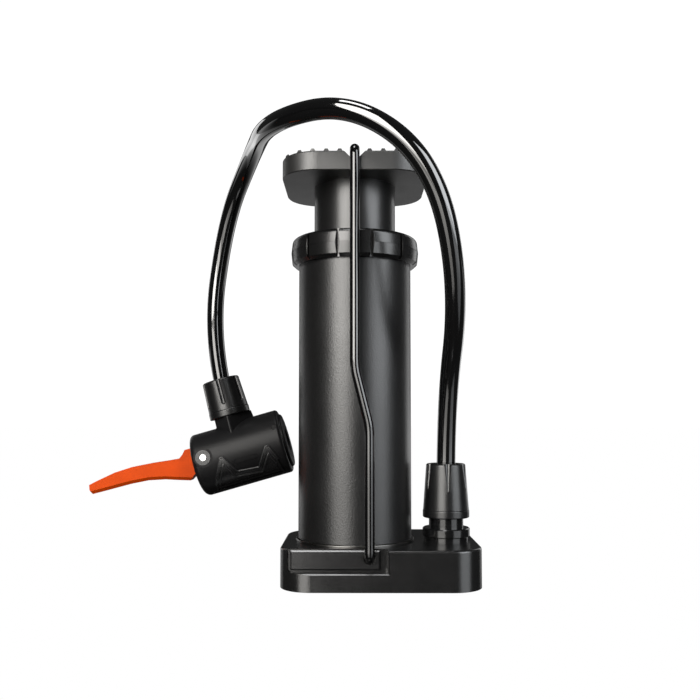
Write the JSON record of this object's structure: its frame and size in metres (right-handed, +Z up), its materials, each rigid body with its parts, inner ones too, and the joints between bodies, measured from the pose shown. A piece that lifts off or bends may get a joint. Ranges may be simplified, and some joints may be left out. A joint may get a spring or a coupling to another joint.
{
  "type": "foot air pump",
  "caption": "Upright foot pump: round barrel on a flat base, ribbed treadle held down by a wire bail, looped hose and a pump head with an orange lever.",
  "frame": {"origin": "on the floor, under the barrel's axis", "axes": "+Z up along the barrel, +X towards the hose fitting on the base, -Y towards the front"},
  "size_m": [0.1556, 0.1045, 0.1668],
  "materials": {
    "base_plastic": "satin moulded",
    "sole_rubber": "matte",
    "barrel_paint": "fine textured powder coat",
    "foot_ring_metal": "dark polished",
    "collar_plastic": "satin moulded",
    "neck_paint": "fine textured satin",
    "treadle_plastic": "fine grain satin",
    "wire_paint": "gloss",
    "hose_rubber": "gloss",
    "nut_plastic": "satin moulded",
    "head_plastic": "satin moulded",
    "grip_plastic": "satin moulded",
    "lever_plastic": "satin orange",
    "pin_steel": "bright",
    "screw_steel": "zinc plated",
    "spring_steel": "oiled",
    "brass": "machined",
    "stem_plastic": "gloss black",
    "seal_rubber": "matte",
    "inner_plastic": "natural moulded"
  },
  "bodies": {
    "base": {"base_housing": "base_plastic", "sole_pad": "sole_rubber", "base_screws": "screw_steel", "pivot_plate_front": "base_plastic", "pivot_plate_rear": "base_plastic", "barrel_tube": "barrel_paint", "barrel_foot_ring": "foot_ring_metal", "barrel_end_cap": "inner_plastic", "barrel_o_ring": "seal_rubber", "collar_nut": "collar_plastic", "guide_bush": "collar_plastic", "wiper_ring": "seal_rubber", "valve_seat": "brass", "hose_stem": "stem_plastic", "stem_o_ring": "seal_rubber", "base_hose_nut": "nut_plastic", "hose": "hose_rubber", "head_stem": "brass", "head_hose_nut": "nut_plastic", "head_body": "head_plastic", "grip_panels": "grip_plastic", "head_mouth_cap": "head_plastic", "valve_seal": "seal_rubber", "seal_pusher": "inner_plastic", "depressor_pin": "brass", "pivot_pin": "pin_steel", "pin_washers": "grip_plastic"},
    "bail": {"bail_wire": "wire_paint"},
    "spring_carrier": {"return_spring": "spring_steel"},
    "plunger": {"treadle": "treadle_plastic", "treadle_screws": "screw_steel", "tube_top_plug": "inner_plastic", "plunger_tube": "neck_paint", "piston": "inner_plastic", "piston_cup": "seal_rubber", "piston_ring": "inner_plastic", "piston_pin": "screw_steel", "intake_valve": "seal_rubber"},
    "check_valve": {"valve_disc": "seal_rubber", "valve_spring": "spring_steel"},
    "lever": {"lever": "lever_plastic"}
  },
  "joints": [
    {"name": "bail_swing", "type": "hinge", "parent": "base", "child": "bail", "pos_m": [0.005, 0, 0.0114], "axis": [0, 1, 0], "range_deg": [-91.8, 0]},
    {"name": "spring_rise", "type": "slide", "parent": "base", "child": "spring_carrier", "axis": [0, 0, 1], "range_m": [0, 0.0579], "deforming": ["return_spring"]},
    {"name": "treadle_stroke", "type": "slide", "parent": "spring_carrier", "child": "plunger", "axis": [0, 0, 1], "range_m": [-0.016, 0], "stiffness_N_per_m": 400, "springref_m": 0.05},
    {"name": "check_valve_lift", "type": "slide", "parent": "base", "child": "check_valve", "axis": [0, 0, 1], "range_m": [-0.001, 0], "stiffness_N_per_m": 60, "springref_m": 0.002, "deforming": ["valve_spring"]},
    {"name": "head_lever", "type": "hinge", "parent": "base", "child": "lever", "pos_m": [-0.0622, 0.0422, 0.0428], "axis": [0, 1, 0], "range_deg": [0, 90]}
  ],
  "couplings": [
    {"joint": "spring_rise", "follows": "bail_swing", "m_per_rad": -0.0361}
  ]
}
